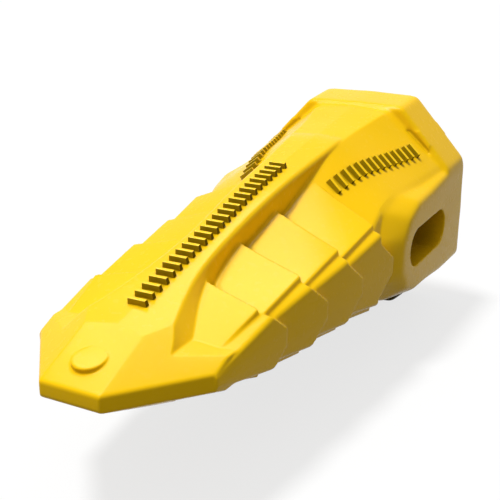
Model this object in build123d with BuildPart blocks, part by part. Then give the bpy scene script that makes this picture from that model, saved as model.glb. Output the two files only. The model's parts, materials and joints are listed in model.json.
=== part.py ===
"""Cast rock tooth for an excavator bucket: one solid casting, mirrored left to right and top to bottom.

The tip points along +X, +Z is up, and the origin is the centre of the rear rim, on the axis of the
socket. The outside runs, from the tip: a faceted nose, a middle rib with four overlapping scales on each
side of it, side scales beside them, a flared body with a pad round each pin slot, and a collar.
"""
import os

from build123d import *

os.makedirs("parts", exist_ok=True)

# Whole casting
length = 320.0
underside = 0.9

# Socket for the adapter: a tapering pocket, open at the rear
socket_depth = 172.0
socket_mouth_half_width = 44.0
socket_mouth_half_height = 47.0
socket_mouth_z = 2.5
socket_mouth_radius = 14.0
socket_mouth_chamfer = 3.0
socket_end_half_width = 17.0
socket_end_half_height = 18.0
socket_end_z = 1.0
socket_end_radius = 6.0

# Collar: an octagon with rounded corners round the mouth of the socket
collar_length = 33.0
collar_side_wall = 20.0
collar_top_wall = 20.5
collar_crown = 0.8
collar_top_half = 30.5
collar_flank_inset = 0.8
collar_flank_z = 33.5
collar_draft = 2.6
collar_side_draft = 0.01
collar_corner_radius = 5.0
collar_rear_radius = 3.0
collar_front_radius = 2.0

# Nose: a chisel of flat facets, thin along its outer edge
tip_half_width = 14.8
edge_half_thickness = 3.7
shoulder_back = 37.8
shoulder_half_width = 45.6
nose_reach = 80.0
nose_flare = 0.03
centre_facet_slope = 0.425
side_facet_slope = 0.5135
floor_height = 10.6
floor_mark_y = 27.9
floor_slope = 0.146
nose_edge_radius = 1.8

# Disc boss on the top facet
disc_radius = 7.6
disc_back = 14.2
disc_face_slope = 0.22
disc_edge_radius = 0.5

# Rib: distance behind the tip, half width at the top edge, height of that edge, half width at mid height
rib_stations = (
    (16.0, 27.6, 12.0, 34.0),
    (41.0, 22.6, 18.2, 34.0),
    (66.0, 15.2, 24.7, 30.5),
    (91.0, 11.7, 30.8, 18.5),
    (116.0, 11.1, 36.3, 12.8),
    (141.0, 11.8, 42.3, 12.3),
    (166.0, 12.7, 47.4, 13.0),
    (191.0, 13.8, 51.3, 14.0),
    (216.0, 15.6, 55.4, 15.8),
    (241.0, 15.8, 56.6, 16.0),
)
rib_crown = 1.3
rib_edge_radius = 2.6

# Scales: four on each side of the rib, each with a raised rear edge that stands over the next one
scale_count = 4
scale_pitch = 36.4
first_crest_back = 77.2
crest_inner_height = (23.0, 28.5, 34.7, 43.4)
crest_outer_height = (17.5, 21.0, 22.8, 25.8)
crest_inner_y = 14.0
crest_sweep = 0.19
scale_inner_slope = (0.30, 0.32, 0.32, 0.42)
scale_outer_slope = (0.33, 0.19, 0.18, 0.2)
scale_outer_flare = (0.15, 0.05, 0.05, 0.07)
scale_reach = 40.0
scale_tail = 12.0
crest_edge_radius = 0.8
wall_draft = 0.4
wall_foot_radius = 2.2

# Ledge and side scales outside each top scale: the sides lie inside the width of the collar
side_inset = (14.7, 11.4, 8.0, 5.0)
ledge_width = (5.4, 5.8, 5.9, 4.9)
ledge_drop = 3.8
ledge_tilt = 1.0
ledge_slope = (0.23, 0.18, 0.16, 0.2)
ledge_corner_radius = 3.2
side_flare = (0.10, 0.145, 0.14, 0.125)
side_bulge = 0.7
side_flat_half = 4.5
side_bow = 14.0
side_bow_half_height = 16.0

# Body behind the scales: distance ahead of the rear rim, half width of the top and its drop below the
# collar, inset of the flank's lower edge from the collar's side and its height, and inset of the side
body_stations = (
    (20.0, (25.0, 3.8), (4.6, 34.6), 1.4),
    (38.0, (22.6, 5.6), (5.7, 33.2), 1.8),
    (56.0, (19.6, 8.6), (7.6, 32.0), 2.3),
    (74.0, (17.2, 11.2), (9.8, 31.2), 2.9),
    (92.0, (16.2, 14.0), (11.8, 30.8), 3.6),
    (110.0, (14.8, 19.2), (12.6, 28.6), 4.6),
    (128.0, (13.5, 26.8), (11.6, 22.6), 6.4),
    (146.0, (12.6, 35.6), (12.0, 15.0), 8.6),
)
body_crown = 1.2
body_top_radius = 1.6
body_flank_radius = 5.0

# Pad round the pin slot: outline where it leaves the body, and outline of its flat face (x, z)
pad_face_inset = 0.5
pad_height = 11.5
pad_root_outline = ((0.0, 35.0), (40.0, 33.4), (70.0, 31.0), (92.0, 30.6), (113.0, 26.5), (138.0, 10.0))
pad_face_outline = ((0.0, 31.0), (36.0, 30.4), (62.0, 27.4), (84.0, 26.2), (100.0, 20.0), (109.0, 8.0))
pad_corner_radius = 16.0
pad_edge_radius = 3.5

# Pin slot, through both side walls
slot_x = 66.5
slot_length = 62.0
slot_height = 25.0

collar_half_width = socket_mouth_half_width + collar_side_wall
collar_half_height = socket_mouth_half_height + socket_mouth_z + collar_top_wall
pad_face_y = collar_half_width - pad_face_inset


def ring(points, radii):
    """Closed outline given for one quarter, from the top centre to mid height at the side."""
    below = tuple((y, -underside * z) for y, z in reversed(points[:-1]))
    with BuildLine() as outline:
        FilletPolyline(*points, *below, radius=(*radii, 0, *reversed(radii)))
        mirror(about=Plane.YZ)
    return outline.edges()


def crest_y(index):
    """Y of the outer rear corner of a scale."""
    return collar_half_width - side_inset[index] - ledge_width[index]


def crest_x(index):
    """X of the outer rear corner of a scale."""
    return length - first_crest_back - index * scale_pitch


def scale_section(index, x):
    """Corner heights of a top scale and its ledge at one station."""
    ahead = x - crest_x(index)
    outer_y = crest_y(index) - scale_outer_flare[index] * ahead
    outer_z = crest_outer_height[index] - scale_outer_slope[index] * ahead
    inner_ahead = ahead + crest_sweep * (crest_y(index) - crest_inner_y)
    inner_z = crest_inner_height[index] - scale_inner_slope[index] * inner_ahead
    fall = (inner_z - outer_z) / (outer_y - crest_inner_y)
    centre_z = outer_z + fall * outer_y
    ledge_z = crest_outer_height[index] - ledge_drop - ledge_slope[index] * ahead
    side_y = collar_half_width - side_inset[index] - side_flare[index] * ahead
    return centre_z, outer_y, outer_z, ledge_z, side_y


def top_scale(index):
    """The pair of sloping scales beside the rib, top and bottom, with a rear edge swept back to the rib."""
    front_x = crest_x(index) + scale_reach
    rear_x = crest_x(index) - scale_tail
    with BuildPart() as scale:
        for x in (rear_x, front_x):
            centre_z, outer_y, outer_z, ledge_z, side_y = scale_section(index, x)
            root_y = max(side_y - 1.5 * ledge_corner_radius, outer_y + wall_foot_radius)
            wall_z = min(ledge_z + ledge_tilt, outer_z - 2 * crest_edge_radius)
            root_z = min(ledge_z, wall_z) - ledge_tilt
            with BuildSketch(Plane.YZ.offset(x)):
                corners = (
                    (0, centre_z),
                    (outer_y, outer_z),
                    (outer_y + wall_draft, wall_z),
                    (root_y, root_z),
                    (root_y, 0),
                )
                radii = (crest_edge_radius, min(wall_foot_radius, 0.4 * (root_y - outer_y)), 0)
                make_face(ring(corners, radii))
        loft(ruled=True)
        notch_x = crest_x(index) - crest_sweep * crest_y(index)
        edge_x = crest_x(index) + crest_sweep * (collar_half_width - crest_y(index))
        with BuildSketch(Plane.XY.offset(-collar_half_height)):
            Polygon(
                (notch_x, 0),
                (edge_x, collar_half_width),
                (length, collar_half_width),
                (length, -collar_half_width),
                (edge_x, -collar_half_width),
                align=None,
            )
        extrude(amount=2 * collar_half_height, mode=Mode.INTERSECT)
    return scale.part


def side_scale(index):
    """The ledge and side face outside a pair of top scales, with a rear edge bowed to the rear."""
    front_x = crest_x(index) + scale_reach
    rear_x = crest_x(index) - side_bow
    with BuildPart() as scale:
        for x in (rear_x, front_x):
            centre_z, outer_y, outer_z, ledge_z, side_y = scale_section(index, x)
            mid_y = side_y + side_bulge
            flat_z = min(side_flat_half, 0.5 * (ledge_z - ledge_tilt))
            with BuildSketch(Plane.YZ.offset(x)):
                corners = (
                    (0, ledge_z + ledge_tilt),
                    (outer_y, ledge_z + ledge_tilt),
                    (side_y, ledge_z - ledge_tilt),
                    (mid_y, flat_z),
                    (mid_y, 0),
                )
                make_face(ring(corners, (0, min(ledge_corner_radius, 0.4 * ledge_z), 0)))
        loft(ruled=True)
        bow_x = crest_x(index) - side_bow
        with BuildSketch(Plane.XZ.offset(-collar_half_width)):
            with BuildLine():
                Polyline(
                    (front_x, 0),
                    (front_x, collar_half_height),
                    (crest_x(index), collar_half_height),
                    (crest_x(index), side_bow_half_height),
                    (bow_x, side_flat_half),
                    (bow_x, 0),
                )
                mirror(about=Plane.XZ)
            make_face()
        extrude(amount=2 * collar_half_width, mode=Mode.INTERSECT)
    return scale.part


def cut_to_facets():
    """Trim the part being built to the chisel facets of the nose, above and below."""
    for up, share in ((1, 1), (-1, underside)):
        centre = Plane(
            origin=(length, 0, up * edge_half_thickness),
            z_dir=(share * centre_facet_slope, 0, up),
        )
        split(bisect_by=centre, keep=Keep.BOTTOM)
        for side in (1, -1):
            facet = Plane(
                origin=(length, side * tip_half_width, up * edge_half_thickness),
                z_dir=(share * centre_facet_slope, share * side * side_facet_slope, up),
            )
            split(bisect_by=facet, keep=Keep.BOTTOM)


def nose_plan():
    """Outline of the nose and the scales behind it, seen from above."""
    flare_y = shoulder_half_width + nose_flare * (length - shoulder_back)
    return Polygon(
        (0, -flare_y),
        (length - shoulder_back, -shoulder_half_width),
        (length, -tip_half_width),
        (length, tip_half_width),
        (length - shoulder_back, shoulder_half_width),
        (0, flare_y),
        align=None,
    )


with BuildPart() as rib:
    for back, top_half, edge_z, mid_half in rib_stations:
        with BuildSketch(Plane.YZ.offset(length - back)):
            make_face(ring(((0, edge_z + rib_crown), (top_half, edge_z), (mid_half, 0)), (rib_edge_radius,)))
    loft(ruled=False)
    with BuildSketch(Plane.XY.offset(-collar_half_height)):
        offset(nose_plan(), amount=-2 * nose_edge_radius, kind=Kind.INTERSECTION, mode=Mode.REPLACE)
    extrude(amount=2 * collar_half_height, mode=Mode.INTERSECT)
    cut_to_facets()

with BuildPart() as nose:
    with BuildSketch(Plane.XY.offset(-collar_half_height)):
        nose_plan()
    extrude(amount=2 * collar_half_height)
    split(bisect_by=Plane(origin=(length - nose_reach, 0, 0), z_dir=(1, 0, 0)), keep=Keep.TOP)
    for up, share in ((1, 1), (-1, underside)):
        for side in (1, -1):
            floor = Plane(
                origin=(length, side * floor_mark_y, up * share * floor_height),
                z_dir=(0, share * side * floor_slope, up),
            )
            split(bisect_by=floor, keep=Keep.BOTTOM)
    cut_to_facets()
    level = nose.edges().filter_by(lambda edge: abs(edge.tangent_at(0.5).Z) < 0.9)
    front = level.filter_by_position(Axis.X, length - shoulder_back - 30, length)
    rims = front.filter_by(lambda edge: abs(edge.center().Z) < 2 * edge_half_thickness)
    fillet(rims, nose_edge_radius)

with BuildPart() as disc:
    disc_rear_z = edge_half_thickness + centre_facet_slope * (disc_back + disc_radius)
    face_centre = (length - disc_back, 0, disc_rear_z - disc_face_slope * disc_radius)
    with BuildSketch(Plane(origin=face_centre, z_dir=(disc_face_slope, 0, 1))):
        Circle(disc_radius)
    extrude(amount=-disc_radius)
    fillet(disc.edges().sort_by(Axis.Z)[-1], disc_edge_radius)

with BuildPart() as socket:
    for x, half_y, half_z, centre_z, radius in (
        (0, socket_mouth_half_width, socket_mouth_half_height, socket_mouth_z, socket_mouth_radius),
        (socket_depth, socket_end_half_width, socket_end_half_height, socket_end_z, socket_end_radius),
    ):
        with BuildSketch(Plane.YZ.offset(x)):
            with Locations((0, centre_z)):
                RectangleRounded(2 * half_y, 2 * half_z, radius)
    loft(ruled=True)

with BuildPart() as slot:
    with BuildSketch(Plane.XZ.offset(-collar_half_width)):
        with Locations((slot_x, 0)):
            SlotOverall(slot_length, slot_height)
    extrude(amount=2 * collar_half_width)

with BuildPart() as body:
    for x, (top_y, top_drop), (flank_inset, flank_z), inset in body_stations:
        top_z = collar_half_height - top_drop
        with BuildSketch(Plane.YZ.offset(x)):
            corners = (
                (0, top_z + body_crown),
                (top_y, top_z),
                (collar_half_width - flank_inset, flank_z),
                (collar_half_width - inset, 0),
            )
            make_face(ring(corners, (body_top_radius, body_flank_radius)))
    loft(ruled=False)

with BuildPart() as pad:
    for y, outline in ((pad_face_y - pad_height, pad_root_outline), (pad_face_y, pad_face_outline)):
        with BuildSketch(Plane.XZ.offset(-y)):
            with BuildLine():
                FilletPolyline(*outline, (outline[-1][0], 0), radius=pad_corner_radius)
                mirror(about=Plane.XZ)
                Line((0, outline[0][1]), (0, -outline[0][1]))
            make_face()
    loft(ruled=True)
    fillet(pad.faces().sort_by(Axis.Y)[-1].edges().filter_by_position(Axis.X, 1, length), pad_edge_radius)
    mirror(about=Plane.XZ)

with BuildPart() as collar:
    for x, inset in ((0, 0), (collar_length, collar_draft)):
        side_y = collar_half_width - collar_side_draft * x
        with BuildSketch(Plane.YZ.offset(x)):
            corners = (
                (0, collar_half_height + collar_crown - inset),
                (collar_top_half, collar_half_height - inset),
                (side_y - collar_flank_inset, collar_flank_z - inset / 2),
                (side_y, 0),
            )
            make_face(ring(corners, (collar_corner_radius, collar_corner_radius)))
    loft(ruled=True)
    fillet(collar.faces().sort_by(Axis.X)[-1].edges(), collar_front_radius)
    fillet(collar.faces().sort_by(Axis.X)[0].edges(), collar_rear_radius)

with BuildPart() as bucket_tooth:
    add(nose.part)
    add(rib.part)
    for index in range(scale_count):
        add(top_scale(index))
        add(side_scale(index))
    add(body.part)
    add(pad.part)
    add(collar.part)
    add(disc.part)
    add(socket.part, mode=Mode.SUBTRACT)
    add(slot.part, mode=Mode.SUBTRACT)
    mouth = bucket_tooth.faces().sort_by(Axis.X)[0].inner_wires()[0].edges()
    chamfer(mouth, socket_mouth_chamfer)

bucket_tooth.part.label = "bucket_tooth"
export_step(bucket_tooth.part, "parts/bucket_tooth.step")
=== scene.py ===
"""Bucket tooth: raised bars, softened casting edges, yellow enamel and a studio for one casting."""
import json
import math

import bmesh
import bpy
from bpy.props import FloatProperty, FloatVectorProperty, IntProperty, PointerProperty
from mathutils import Matrix, Vector

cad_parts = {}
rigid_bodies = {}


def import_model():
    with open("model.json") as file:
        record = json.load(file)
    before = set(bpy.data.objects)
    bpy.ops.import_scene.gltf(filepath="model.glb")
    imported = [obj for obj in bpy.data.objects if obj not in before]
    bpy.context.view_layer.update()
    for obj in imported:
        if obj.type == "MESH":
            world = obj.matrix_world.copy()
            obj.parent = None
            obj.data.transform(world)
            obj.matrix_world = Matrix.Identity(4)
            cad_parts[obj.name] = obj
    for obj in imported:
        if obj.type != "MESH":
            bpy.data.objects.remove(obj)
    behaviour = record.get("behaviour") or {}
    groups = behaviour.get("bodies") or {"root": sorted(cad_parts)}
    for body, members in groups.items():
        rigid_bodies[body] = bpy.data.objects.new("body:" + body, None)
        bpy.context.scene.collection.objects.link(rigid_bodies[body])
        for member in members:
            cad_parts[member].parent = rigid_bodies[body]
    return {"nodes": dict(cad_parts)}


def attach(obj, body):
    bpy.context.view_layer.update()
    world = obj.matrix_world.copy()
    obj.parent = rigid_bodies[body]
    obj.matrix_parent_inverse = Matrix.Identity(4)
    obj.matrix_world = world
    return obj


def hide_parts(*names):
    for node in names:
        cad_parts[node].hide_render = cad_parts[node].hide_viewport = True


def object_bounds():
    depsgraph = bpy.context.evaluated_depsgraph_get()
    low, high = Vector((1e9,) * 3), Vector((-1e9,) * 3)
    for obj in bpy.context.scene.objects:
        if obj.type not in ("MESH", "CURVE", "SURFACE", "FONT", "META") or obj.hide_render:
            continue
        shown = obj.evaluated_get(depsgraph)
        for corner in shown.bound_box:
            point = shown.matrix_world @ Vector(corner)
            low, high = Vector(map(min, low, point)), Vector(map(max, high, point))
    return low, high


bl_info = {
    "name": "Bucket Tooth",
    "version": (1, 0, 0),
    "blender": (4, 5, 0),
    "location": "View3D > Sidebar > Tooth",
    "description": "Finishes a cast rock tooth for an excavator bucket and sets it in a studio",
    "category": "Object",
}

NODE = "bucket_tooth"
FACING = 0.9  # least dot product of a face's normal with the way that it is said to face
MARGIN = 0.005  # metres that a box reaches past the casting's outside
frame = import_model()
cad_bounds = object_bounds()


class ToothBarSettings(bpy.types.PropertyGroup):
    """Sizes of the plain raised bars on the rib and on the flanks."""

    width: FloatProperty(
        name="Width", description="Bar width along its row", default=0.0026, unit="LENGTH",
    )
    height: FloatProperty(
        name="Height", description="Height above the casting", default=0.0026, unit="LENGTH",
    )
    sink: FloatProperty(
        name="Sink", description="Depth of the bar's foot in the casting",
        default=0.0016, unit="LENGTH",
    )
    top_width: FloatProperty(
        name="Top width", description="Width of the bar's top against its foot", default=0.73,
    )
    top_length: FloatProperty(
        name="Top length", description="Length of the bar's top against its foot", default=0.925,
    )
    edge: FloatProperty(
        name="Edge", description="Rounding of the bar's edges", default=0.00026, unit="LENGTH",
    )
    rib_count: IntProperty(
        name="Rib bars", description="Bars along the rib", default=25, min=2,
    )
    rib_length: FloatProperty(
        name="Rib bar length", description="Length across the rib", default=0.0098, unit="LENGTH",
    )
    rib_from: FloatVectorProperty(
        name="Rib row start", description="Foremost bar on the rib, from above", subtype="XYZ",
        size=2, default=(0.2705, 0),
    )
    rib_to: FloatVectorProperty(
        name="Rib row end", description="Rearmost bar on the rib, from above", subtype="XYZ",
        size=2, default=(0.1375, 0),
    )
    rib_way: FloatVectorProperty(
        name="Rib bar way", description="Way that the rib's bars point", subtype="XYZ",
        default=(0.22, 0, 1),
    )
    flank_count: IntProperty(
        name="Flank bars", description="Bars on each flank", default=14, min=2,
    )
    flank_length: FloatProperty(
        name="Flank bar length", description="Length up the flank", default=0.0096, unit="LENGTH",
    )
    flank_from: FloatVectorProperty(
        name="Flank row start", description="Foremost bar on the left flank, from above",
        subtype="XYZ", size=2, default=(0.122, 0.026),
    )
    flank_to: FloatVectorProperty(
        name="Flank row end", description="Rearmost bar on the left flank, from above",
        subtype="XYZ", size=2, default=(0.0455, 0.0438),
    )
    flank_way: FloatVectorProperty(
        name="Flank bar way", description="Way that the left flank's bars point", subtype="XYZ",
        default=(0.18, 0.60, 0.78),
    )


class ToothCastingSettings(bpy.types.PropertyGroup):
    """Fineness of the casting's skin, and how its slot, collar and pads are finished."""

    voxel: FloatProperty(
        name="Voxel", description="Size of the cells that the skin is made of",
        default=0.00055, min=0.0004, unit="LENGTH",
    )
    soften: IntProperty(
        name="Soften", description="Passes that round the casting's edges", default=3, min=0,
    )
    slot_squeeze: FloatProperty(
        name="Slot squeeze", description="Height of the slot's rim against the packed solid's",
        default=0.904,
    )
    slot_rear: FloatProperty(
        name="Slot rear", description="Rear end of the slot, from the rear rim",
        default=0.0355, unit="LENGTH",
    )
    slot_front: FloatProperty(
        name="Slot front", description="Front end of the slot, from the rear rim",
        default=0.0975, unit="LENGTH",
    )
    slot_half: FloatProperty(
        name="Slot half height", description="Half the height of the packed solid's slot",
        default=0.0125, unit="LENGTH",
    )
    slot_inner: FloatProperty(
        name="Slot inner", description="Least distance of the slot's rim from the middle",
        default=0.020, unit="LENGTH",
    )
    slot_rim: FloatVectorProperty(
        name="Slot rim", description="Room along and up that takes in the slot's rim",
        size=2, default=(0.0015, 0.0002), unit="LENGTH",
    )
    slot_spared: FloatVectorProperty(
        name="Slot spared", description="Room along and up round the slot that stays unrounded",
        size=2, default=(0.0055, 0.002), unit="LENGTH",
    )
    rounding: IntProperty(
        name="Rounding", description="Further passes that round the collar and the pads",
        default=110, min=0,
    )
    pad_front: FloatProperty(
        name="Pad front", description="Front end of the pads, from the rear rim",
        default=0.116, unit="LENGTH",
    )
    pad_inner: FloatProperty(
        name="Pad inner", description="Distance from the middle where the pads are rounded",
        default=0.050, unit="LENGTH",
    )
    pad_half: FloatProperty(
        name="Pad half height", description="Half the height over which the sides are rounded",
        default=0.050, unit="LENGTH",
    )
    collar_front: FloatProperty(
        name="Collar front", description="Front end of the collar's rounding, from the rear rim",
        default=0.040, unit="LENGTH",
    )
    collar_top: FloatProperty(
        name="Collar top", description="Height above which the collar is rounded",
        default=0.054, unit="LENGTH",
    )
    triangles: IntProperty(
        name="Triangles", description="Most triangles in the skin", default=190000, min=1000,
    )


class ToothEnamelSettings(bpy.types.PropertyGroup):
    """Colours and finish of the enamel, with the colours of the painted shade and the painted
    highlight.
    """

    colour: FloatVectorProperty(
        name="Enamel", description="Main colour", subtype="COLOR",
        default=(1.0, 0.60, 0.004), min=0, max=1,
    )
    cloud_size: FloatProperty(
        name="Cloud scale", description="Scale of the clouds of slightly darker enamel",
        default=18.0,
    )
    cloud_range: FloatVectorProperty(
        name="Cloud range", description="Noise where a cloud begins and where it is full",
        size=2, default=(0.35, 0.65),
    )
    cloud_value: FloatProperty(
        name="Cloud value", description="Brightness of a cloud against the main colour",
        default=0.96,
    )
    # Painted shade: a dark colour put in corners, inside the slot and socket, and on the bars'
    # walls, where less light reaches.
    painted_shade_colour: FloatVectorProperty(
        name="Hollow", description="Colour of the dull enamel deep in corners and pockets",
        subtype="COLOR", default=(0.12, 0.082, 0.001), min=0, max=1,
    )
    # Reach and range of the painted shade that ambient occlusion lays along corners and inside the
    # slot and socket.
    corner_shade_reach: FloatProperty(
        name="Corner reach", description="Width of the dull enamel along a corner",
        default=0.008, unit="LENGTH",
    )
    corner_shade_range: FloatVectorProperty(
        name="Corner range", description="Openness where a corner begins and where it is dullest",
        size=2, default=(0.88, 0.40),
    )
    pocket_shade_reach: FloatProperty(
        name="Pocket reach", description="Width of the slot and socket that stay dull inside",
        default=0.06, unit="LENGTH",
    )
    pocket_shade_range: FloatVectorProperty(
        name="Pocket range", description="Openness where a pocket begins and where it is dullest",
        size=2, default=(0.58, 0.28),
    )
    # Painted highlight: a paler, greener yellow laid on sharp outward edges.
    edge_highlight_colour: FloatVectorProperty(
        name="Thin", description="Colour where the enamel is thin on edges", subtype="COLOR",
        default=(1.0, 0.68, 0.010), min=0, max=1,
    )
    edge_highlight_range: FloatVectorProperty(
        name="Thin range", description="Sharpness where an edge begins and where it is thinnest",
        size=2, default=(0.53, 0.70),
    )
    peel_size: FloatProperty(
        name="Peel scale", description="Scale of the waves left by the sprayed enamel",
        default=260.0,
    )
    peel_range: FloatVectorProperty(
        name="Peel range", description="Noise at the glossiest and at the dullest wave",
        size=2, default=(0.3, 0.7),
    )
    roughness: FloatVectorProperty(
        name="Roughness", description="Roughness at the glossiest and at the dullest wave",
        size=2, default=(0.21, 0.29), min=0, max=1,
    )
    grain_size: FloatProperty(
        name="Grain scale", description="Scale of the fine grain", default=1100.0,
    )
    grain_share: FloatProperty(
        name="Grain share", description="Depth of the grain against the waves", default=0.15,
    )
    peel: FloatProperty(
        name="Peel", description="Depth of the waves left by the sprayed enamel",
        default=0.000012, unit="LENGTH",
    )


class ToothStageSettings(bpy.types.PropertyGroup):
    """Camera, lamps and floor."""

    camera_at: FloatVectorProperty(
        name="Camera", description="Camera position", subtype="XYZ",
        default=(0.5790, 0.2202, 0.1813),
    )
    camera_azimuth: FloatProperty(
        name="Azimuth", description="Direction of the camera round Z, from +X",
        subtype="ANGLE", default=math.radians(28.24),
    )
    camera_elevation: FloatProperty(
        name="Elevation", description="Direction of the camera above the floor",
        subtype="ANGLE", default=math.radians(19.8),
    )
    sensor: FloatProperty(
        name="Sensor", description="Width of the camera's frame in millimetres", default=36,
    )
    lens: FloatProperty(
        name="Lens", description="Focal length in millimetres", default=68.4,
    )
    far: FloatProperty(
        name="Far", description="Farthest that the camera sees", default=50, unit="LENGTH",
    )
    key_from: FloatVectorProperty(
        name="Key", description="Direction of the key lamp", subtype="XYZ",
        default=(0.17, -0.22, 0.95),
    )
    key_strength: FloatProperty(
        name="Key strength", description="Strength of the key lamp", default=2.9,
    )
    key_width: FloatProperty(
        name="Key width", description="Width of the key lamp as an angle", subtype="ANGLE",
        default=math.radians(12),
    )
    card_at: FloatVectorProperty(
        name="Card", description="Position of the bright card that shows in the nose's gloss",
        subtype="XYZ", default=(0.15, -0.09, 0.42),
    )
    card_size: FloatProperty(
        name="Card size", description="Width of the bright card", default=0.44, unit="LENGTH",
    )
    card_aim: FloatProperty(
        name="Card aim", description="Part of the tooth's length, from the rear, that it faces",
        default=0.8,
    )
    card_power: FloatProperty(
        name="Card power", description="Power of the bright card", default=7.0, unit="POWER",
    )
    fill: FloatProperty(
        name="Fill", description="Strength of the world on the object", default=0.36, min=0,
    )
    floor_size: FloatProperty(
        name="Floor size", description="Width of the floor", default=40, unit="LENGTH",
    )
    floor_seen: FloatProperty(
        name="Floor seen", description="Brightness of the floor to the camera and in the gloss",
        default=0.86, min=0, max=1,
    )
    floor_unseen: FloatProperty(
        name="Floor unseen", description="Brightness of the floor as it lights the object",
        default=0.16, min=0, max=1,
    )
    floor_glow: FloatProperty(
        name="Floor glow", description="Share of the seen floor that shines by itself",
        default=0.75, min=0, max=1,
    )


def only(*objects):
    """Select these objects alone, and make the last one active."""
    bpy.ops.object.select_all(action="DESELECT")
    for item in objects:
        item.select_set(True)
        bpy.context.view_layer.objects.active = item


def modify(item, kind, **values):
    """Add a modifier with these values and apply it."""
    only(item)
    modifier = item.modifiers.new(kind.title(), kind)
    for name, value in values.items():
        setattr(modifier, name, value)
    bpy.ops.object.modifier_apply(modifier=modifier.name)


def add_node(tree, kind, **values):
    """Add a node and set its inputs by name."""
    node = tree.nodes.new(kind)
    for name, value in values.items():
        node.inputs[name.replace("_", " ")].default_value = value
    return node


def blend(tree, mask, first, second):
    """Mix two colours by a mask; a colour is a socket or three numbers."""
    node = tree.nodes.new("ShaderNodeMix")
    node.data_type = "RGBA"
    tree.links.new(mask, node.inputs[0])
    for socket, colour in ((node.inputs[6], first), (node.inputs[7], second)):
        if isinstance(colour, bpy.types.NodeSocket):
            tree.links.new(colour, socket)
        else:
            socket.default_value = (*colour, 1)
    return node.outputs[2]


def spread(tree, value, span, to_span=(0.0, 1.0)):
    """Map a value from one range to another, held at the ends."""
    node = add_node(
        tree, "ShaderNodeMapRange",
        From_Min=span[0], From_Max=span[1], To_Min=to_span[0], To_Max=to_span[1],
    )
    tree.links.new(value, node.inputs["Value"])
    return node.outputs["Result"]


def grey(level):
    """A colour of this brightness, with full alpha."""
    return (level, level, level, 1)


def enamel_group(enamel):
    """Colour, roughness and height of sprayed enamel at a place on the casting, with painted shade
    in corners and pockets and a painted highlight on sharp edges.
    """
    if "enamel_with_painted_light" in bpy.data.node_groups:
        return bpy.data.node_groups["enamel_with_painted_light"]
    tree = bpy.data.node_groups.new("enamel_with_painted_light", "ShaderNodeTree")
    for name, way, kind in (
        ("Place", "INPUT", "NodeSocketVector"),
        ("Enamel", "INPUT", "NodeSocketColor"),
        ("Colour", "OUTPUT", "NodeSocketColor"),
        ("Roughness", "OUTPUT", "NodeSocketFloat"),
        ("Height", "OUTPUT", "NodeSocketFloat"),
    ):
        tree.interface.new_socket(name, in_out=way, socket_type=kind)
    given = tree.nodes.new("NodeGroupInput")
    out = tree.nodes.new("NodeGroupOutput")
    cloud = add_node(tree, "ShaderNodeTexNoise", Scale=enamel.cloud_size, Detail=3.0)
    peel = add_node(tree, "ShaderNodeTexNoise", Scale=enamel.peel_size, Detail=2.0)
    grain = add_node(tree, "ShaderNodeTexNoise", Scale=enamel.grain_size, Detail=3.0)
    for noise in (cloud, peel, grain):
        tree.links.new(given.outputs["Place"], noise.inputs["Vector"])

    clouded = add_node(tree, "ShaderNodeHueSaturation", Value=enamel.cloud_value)
    tree.links.new(given.outputs["Enamel"], clouded.inputs["Color"])
    tone = blend(
        tree, spread(tree, cloud.outputs["Fac"], enamel.cloud_range),
        given.outputs["Enamel"], clouded.outputs["Color"],
    )
    # Painted shade: darker colour wherever ambient occlusion finds a corner, or the inside of the
    # slot and socket.
    for reach, span in (
        (enamel.corner_shade_reach, enamel.corner_shade_range),
        (enamel.pocket_shade_reach, enamel.pocket_shade_range),
    ):
        open_sky = add_node(tree, "ShaderNodeAmbientOcclusion", Distance=reach)
        painted_shade_mask = spread(tree, open_sky.outputs["AO"], span)
        tone = blend(tree, painted_shade_mask, tone, enamel.painted_shade_colour)
    # Painted highlight: paler, greener colour on sharp outward edges, found by pointiness.
    bend = tree.nodes.new("ShaderNodeNewGeometry").outputs["Pointiness"]
    tone = blend(tree, spread(tree, bend, enamel.edge_highlight_range), tone, enamel.edge_highlight_colour)
    tree.links.new(tone, out.inputs["Colour"])

    rough = spread(tree, peel.outputs["Fac"], enamel.peel_range, enamel.roughness)
    tree.links.new(rough, out.inputs["Roughness"])
    height = tree.nodes.new("ShaderNodeMath")
    height.operation = "MULTIPLY_ADD"
    height.inputs[1].default_value = enamel.grain_share
    tree.links.new(grain.outputs["Fac"], height.inputs[0])
    tree.links.new(peel.outputs["Fac"], height.inputs[2])
    tree.links.new(height.outputs["Value"], out.inputs["Height"])
    return tree


def enamel_material(name, enamel, colour):
    """Glossy enamel sprayed over a cast surface, with painted shade in corners and pockets and a
    painted highlight on sharp edges.
    """
    material = bpy.data.materials.new(name)
    material.use_nodes = True
    tree = material.node_tree
    shader = tree.nodes["Principled BSDF"]
    place = tree.nodes.new("ShaderNodeTexCoord")
    finish = tree.nodes.new("ShaderNodeGroup")
    finish.node_tree = enamel_group(enamel)
    finish.inputs["Enamel"].default_value = (*colour, 1)
    bump = add_node(tree, "ShaderNodeBump", Strength=1.0, Distance=enamel.peel)
    tree.links.new(place.outputs["Object"], finish.inputs["Place"])
    tree.links.new(finish.outputs["Colour"], shader.inputs["Base Color"])
    tree.links.new(finish.outputs["Roughness"], shader.inputs["Roughness"])
    tree.links.new(finish.outputs["Height"], bump.inputs["Height"])
    tree.links.new(bump.outputs["Normal"], shader.inputs["Normal"])
    shader.inputs["Specular IOR Level"].default_value = 0.05
    return material


def select_faces(item, wanted):
    """Select the faces whose normal the test wants."""
    mesh = bmesh.from_edit_mesh(item.data)
    for face in mesh.faces:
        face.select_set(wanted(face.normal))
    bmesh.update_edit_mesh(item.data)


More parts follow.
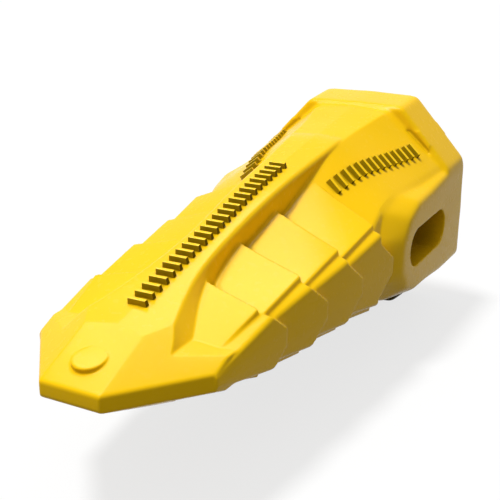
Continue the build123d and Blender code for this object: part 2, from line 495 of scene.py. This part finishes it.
def in_box(place, low, high):
    """Whether a place is inside a box."""
    x, y, z = place
    return low[0] < x < high[0] and low[1] < y < high[1] and low[2] < z < high[2]


def select_corners(item, low, high, spared=None):
    """Select the vertices in a box on either side of the middle, but none in the spared box."""
    bpy.ops.mesh.select_all(action="DESELECT")
    mesh = bmesh.from_edit_mesh(item.data)
    for corner in mesh.verts:
        place = (corner.co.x, abs(corner.co.y), corner.co.z)
        chosen = in_box(place, low, high) and not (spared and in_box(place, *spared))
        corner.select_set(chosen)
    mesh.select_flush(True)
    bmesh.update_edit_mesh(item.data)


def slot_box(size, room):
    """Box round the slot's mouth on one side, with this much room along it and up and down."""
    along, up = room
    half = size.slot_half + up
    return (
        (size.slot_rear - along, size.slot_inner, -half),
        (size.slot_front + along, cad_bounds[1][1] + MARGIN, half),
    )


def squeeze_slot(skin, size):
    """Join the skin's loose faces, and bring the slot's upper and lower rim together."""
    bpy.ops.object.mode_set(mode="EDIT")
    bpy.ops.mesh.select_all(action="SELECT")
    bpy.ops.mesh.remove_doubles(threshold=0.00001)
    bpy.ops.mesh.select_mode(type="VERT")
    select_corners(skin, *slot_box(size, size.slot_rim))
    bpy.ops.transform.resize(value=(1, 1, size.slot_squeeze), center_override=(0, 0, 0))
    bpy.ops.object.mode_set(mode="OBJECT")


def round_collar(skin, size):
    """Round the collar and the pads by further smoothing, but not the slot."""
    behind, below = cad_bounds[0][0] - MARGIN, cad_bounds[0][2] - MARGIN
    outside, above = cad_bounds[1][1] + MARGIN, cad_bounds[1][2] + MARGIN
    spared = slot_box(size, size.slot_spared)
    group = skin.vertex_groups.new(name="round_edges")
    bpy.ops.object.mode_set(mode="EDIT")
    bpy.ops.mesh.select_mode(type="VERT")
    for low, high in (
        ((behind, size.pad_inner, -size.pad_half), (size.pad_front, outside, size.pad_half)),
        ((behind, 0, size.collar_top), (size.collar_front, outside, above)),
        ((behind, 0, below), (size.collar_front, outside, -size.pad_half)),
    ):
        select_corners(skin, low, high, spared)
        bpy.ops.object.vertex_group_assign()
    bpy.ops.object.mode_set(mode="OBJECT")
    modify(skin, "SMOOTH", factor=0.5, iterations=size.rounding, vertex_group=group.name)


def make_bar(size):
    """One plain bar, 1 m long, that stands on Z = 0 with its foot below and slopes in to its top."""
    bpy.ops.object.select_all(action="DESELECT")
    bpy.ops.mesh.primitive_cube_add(size=1)
    bar = bpy.context.object
    bar.name = "bar_model"
    bar.scale = (size.width, 1, size.height + size.sink)
    bar.location.z = (size.height - size.sink) / 2
    bpy.ops.object.transform_apply(location=True, rotation=True, scale=True)
    bpy.ops.object.mode_set(mode="EDIT")
    select_faces(bar, lambda normal: normal.z > FACING)
    bpy.ops.transform.resize(
        value=(size.top_width, size.top_length, 1), center_override=(0, 0, size.height),
    )
    bpy.ops.mesh.select_all(action="SELECT")
    bpy.ops.mesh.bevel(offset=size.edge, segments=2, affect="EDGES")
    bpy.ops.object.mode_set(mode="OBJECT")
    return bar


def place_bars(model, name, row, way, count, length):
    """Copies of the bar, evenly spaced along a row, each seated on the casting under it."""
    tooth = frame["nodes"][NODE]
    first, last = (Vector((*point, 0)) for point in row)
    up = Vector(way).normalized()
    side = up.cross(first - last).normalized()
    ahead = side.cross(up)
    over_tooth = Vector((0, 0, 2 * cad_bounds[1][2]))
    for number in range(count):
        above = first.lerp(last, number / (count - 1)) + over_tooth
        hit, seat = tooth.ray_cast(above, (0, 0, -1))[:2]
        if not hit:
            raise RuntimeError("a raised bar has no casting under it")
        only(model)
        bpy.ops.object.duplicate()
        item = bpy.context.object
        item.name = f"{name}_bar_{number + 1:02d}"
        item.matrix_world = (
            Matrix.Translation(seat) @ Matrix((ahead, side, up)).transposed().to_4x4()
            @ Matrix.Diagonal((1, length, 1, 1))
        )
        bpy.ops.object.transform_apply(location=True, rotation=True, scale=True)


class TOOTH_OT_raised_bars(bpy.types.Operator):
    """Model one plain bar with sloping sides, and set copies along the rib and both flanks"""

    bl_idname = "tooth.raised_bars"
    bl_label = "Raised bars"

    def execute(self, context):
        size = context.scene.tooth_bars
        model = make_bar(size)
        rib = (size.rib_from, size.rib_to)
        place_bars(model, "rib", rib, size.rib_way, size.rib_count, size.rib_length)
        ways = [Vector(size.rib_way).normalized()]
        for name, flip in (("left", Vector((1, 1, 1))), ("right", Vector((1, -1, 1)))):
            flank = [Vector(point) * flip.xy for point in (size.flank_from, size.flank_to)]
            way = Vector(size.flank_way) * flip
            place_bars(model, name, flank, way, size.flank_count, size.flank_length)
            ways.append(way.normalized())
        only(model)
        bpy.ops.object.delete()
        only(*(item for item in bpy.data.objects if "_bar_" in item.name))
        bpy.ops.object.join()
        bars = context.object
        bars.name = "raised_bars"
        bars.data.name = "raised_bars"
        bpy.ops.object.shade_smooth_by_angle(angle=math.radians(30))
        enamel = context.scene.tooth_enamel
        # The bars' tops get the enamel colour. Their walls get the painted shade colour, which is
        # painted shade rather than a different paint.
        for name, colour in (
            ("bar_enamel", enamel.colour),
            ("bar_wall_enamel", enamel.painted_shade_colour),
        ):
            bars.data.materials.append(enamel_material(name, enamel, colour))
        # Every face that doesn't face its bar's way is a wall, and takes the painted shade material.
        bpy.ops.object.mode_set(mode="EDIT")
        select_faces(bars, lambda normal: max(normal.dot(way) for way in ways) < FACING)
        bars.active_material_index = 1
        bpy.ops.object.material_slot_assign()
        bpy.ops.object.mode_set(mode="OBJECT")
        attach(bars, "root")
        return {"FINISHED"}


class TOOTH_OT_casting(bpy.types.Operator):
    """Make the casting's skin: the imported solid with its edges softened, under yellow enamel"""

    bl_idname = "tooth.casting"
    bl_label = "Casting"

    def execute(self, context):
        size = context.scene.tooth_casting
        only(frame["nodes"][NODE])
        bpy.ops.object.duplicate()
        skin = context.object
        skin.name = "cast_tooth"
        skin.data.name = "cast_tooth"
        squeeze_slot(skin, size)
        modify(skin, "REMESH", mode="VOXEL", voxel_size=size.voxel)
        modify(skin, "SMOOTH", factor=0.5, iterations=size.soften)
        round_collar(skin, size)
        modify(skin, "DECIMATE", ratio=min(1.0, size.triangles / (2 * len(skin.data.polygons))))
        bpy.ops.object.shade_smooth()
        skin.data.materials.clear()
        enamel = context.scene.tooth_enamel
        skin.data.materials.append(enamel_material("yellow_enamel", enamel, enamel.colour))
        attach(skin, "root")
        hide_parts(NODE)
        return {"FINISHED"}


def background_rays(tree):
    """1 for the rays that should see the background, 0 for those that only light the object."""
    path = tree.nodes.new("ShaderNodeLightPath")
    total = path.outputs["Is Camera Ray"]
    for name in ("Is Glossy Ray", "Is Transmission Ray"):
        most = tree.nodes.new("ShaderNodeMath")
        most.operation = "MAXIMUM"
        tree.links.new(total, most.inputs[0])
        tree.links.new(path.outputs[name], most.inputs[1])
        total = most.outputs["Value"]
    return total


def mix_shaders(tree, share, first, second):
    """Mix two shaders; the share of the second is a socket or a number."""
    node = tree.nodes.new("ShaderNodeMixShader")
    if isinstance(share, bpy.types.NodeSocket):
        tree.links.new(share, node.inputs[0])
    else:
        node.inputs[0].default_value = share
    tree.links.new(first, node.inputs[1])
    tree.links.new(second, node.inputs[2])
    return node.outputs["Shader"]


def floor_material(stage):
    """Pale floor that shows white to the camera and in the gloss, and throws little light up."""
    material = bpy.data.materials.new("pale_floor")
    material.use_nodes = True
    tree = material.node_tree
    seen = tree.nodes["Principled BSDF"]
    seen.inputs["Base Color"].default_value = grey(stage.floor_seen)
    seen.inputs["Roughness"].default_value = 1.0
    seen.inputs["Specular IOR Level"].default_value = 0.0
    unseen = add_node(tree, "ShaderNodeBsdfDiffuse", Color=grey(stage.floor_unseen))
    glow = add_node(tree, "ShaderNodeEmission", Strength=1.0)
    pale = mix_shaders(tree, stage.floor_glow, seen.outputs["BSDF"], glow.outputs["Emission"])
    surface = mix_shaders(tree, background_rays(tree), unseen.outputs["BSDF"], pale)
    tree.links.new(surface, tree.nodes["Material Output"].inputs["Surface"])
    return material


def add_lamp(kind, name, place, aim, **values):
    """Add a lamp that points at a place."""
    bpy.ops.object.light_add(type=kind, location=place)
    lamp = bpy.context.object
    lamp.name = name
    lamp.rotation_euler = (Vector(aim) - Vector(place)).to_track_quat("-Z", "Y").to_euler()
    for key, value in values.items():
        setattr(lamp.data, key, value)
    return lamp


class TOOTH_OT_stage(bpy.types.Operator):
    """Set the floor, the world, the lamps and the camera"""

    bl_idname = "tooth.stage"
    bl_label = "Stage"

    def execute(self, context):
        stage = context.scene.tooth_stage
        length = cad_bounds[1][0]
        bpy.ops.object.select_all(action="DESELECT")
        bpy.ops.mesh.primitive_plane_add(
            size=stage.floor_size, location=(0, 0, cad_bounds[0][2]),
        )
        floor = context.object
        floor.name = "floor"
        bpy.ops.object.transform_apply(location=True, rotation=True, scale=True)
        floor.data.materials.append(floor_material(stage))

        world = bpy.data.worlds.new("studio")
        context.scene.world = world
        world.use_nodes = True
        tree = world.node_tree
        back = tree.nodes["Background"]
        strength = spread(tree, background_rays(tree), (0.0, 1.0), (stage.fill, 1.0))
        tree.links.new(strength, back.inputs["Strength"])
        back.inputs["Color"].default_value = grey(1)

        middle = Vector((length / 2, 0, 0))
        add_lamp(
            "SUN", "key_lamp", middle + Vector(stage.key_from), middle,
            energy=stage.key_strength, angle=stage.key_width,
        )
        card = add_lamp(
            "AREA", "gloss_card", stage.card_at, (stage.card_aim * length, 0, 0),
            energy=stage.card_power, size=stage.card_size,
        )
        card.visible_diffuse = False

        bpy.ops.object.camera_add(location=stage.camera_at)
        camera = context.object
        camera.data.lens = stage.lens
        camera.data.sensor_width = stage.sensor
        camera.data.clip_end = stage.far
        camera.rotation_euler = (
            math.pi / 2 - stage.camera_elevation, 0, math.pi / 2 + stage.camera_azimuth,
        )
        context.scene.camera = camera
        context.scene.view_settings.view_transform = "Standard"
        return {"FINISHED"}


class TOOTH_PT_panel(bpy.types.Panel):
    """Settings, and the steps that finish the tooth in order"""

    bl_idname = "TOOTH_PT_panel"
    bl_label = "Bucket Tooth"
    bl_space_type = "VIEW_3D"
    bl_region_type = "UI"
    bl_category = "Tooth"

    def draw(self, context):
        for group in SETTINGS:
            box = self.layout.box()
            settings = getattr(context.scene, group)
            for name in settings.__annotations__:
                box.prop(settings, name)
        for step in STEPS:
            self.layout.operator(step.bl_idname)


SETTINGS = {
    "tooth_bars": ToothBarSettings,
    "tooth_casting": ToothCastingSettings,
    "tooth_enamel": ToothEnamelSettings,
    "tooth_stage": ToothStageSettings,
}
STEPS = (TOOTH_OT_raised_bars, TOOTH_OT_casting, TOOTH_OT_stage)
CLASSES = (*SETTINGS.values(), *STEPS, TOOTH_PT_panel)


def register():
    for item in CLASSES:
        bpy.utils.register_class(item)
    for name, group in SETTINGS.items():
        setattr(bpy.types.Scene, name, PointerProperty(type=group))


def unregister():
    for name in SETTINGS:
        delattr(bpy.types.Scene, name)
    for item in reversed(CLASSES):
        bpy.utils.unregister_class(item)


def main():
    register()
    bpy.ops.tooth.raised_bars()
    bpy.ops.tooth.casting()
    bpy.ops.tooth.stage()


if __name__ == "__main__":
    main()
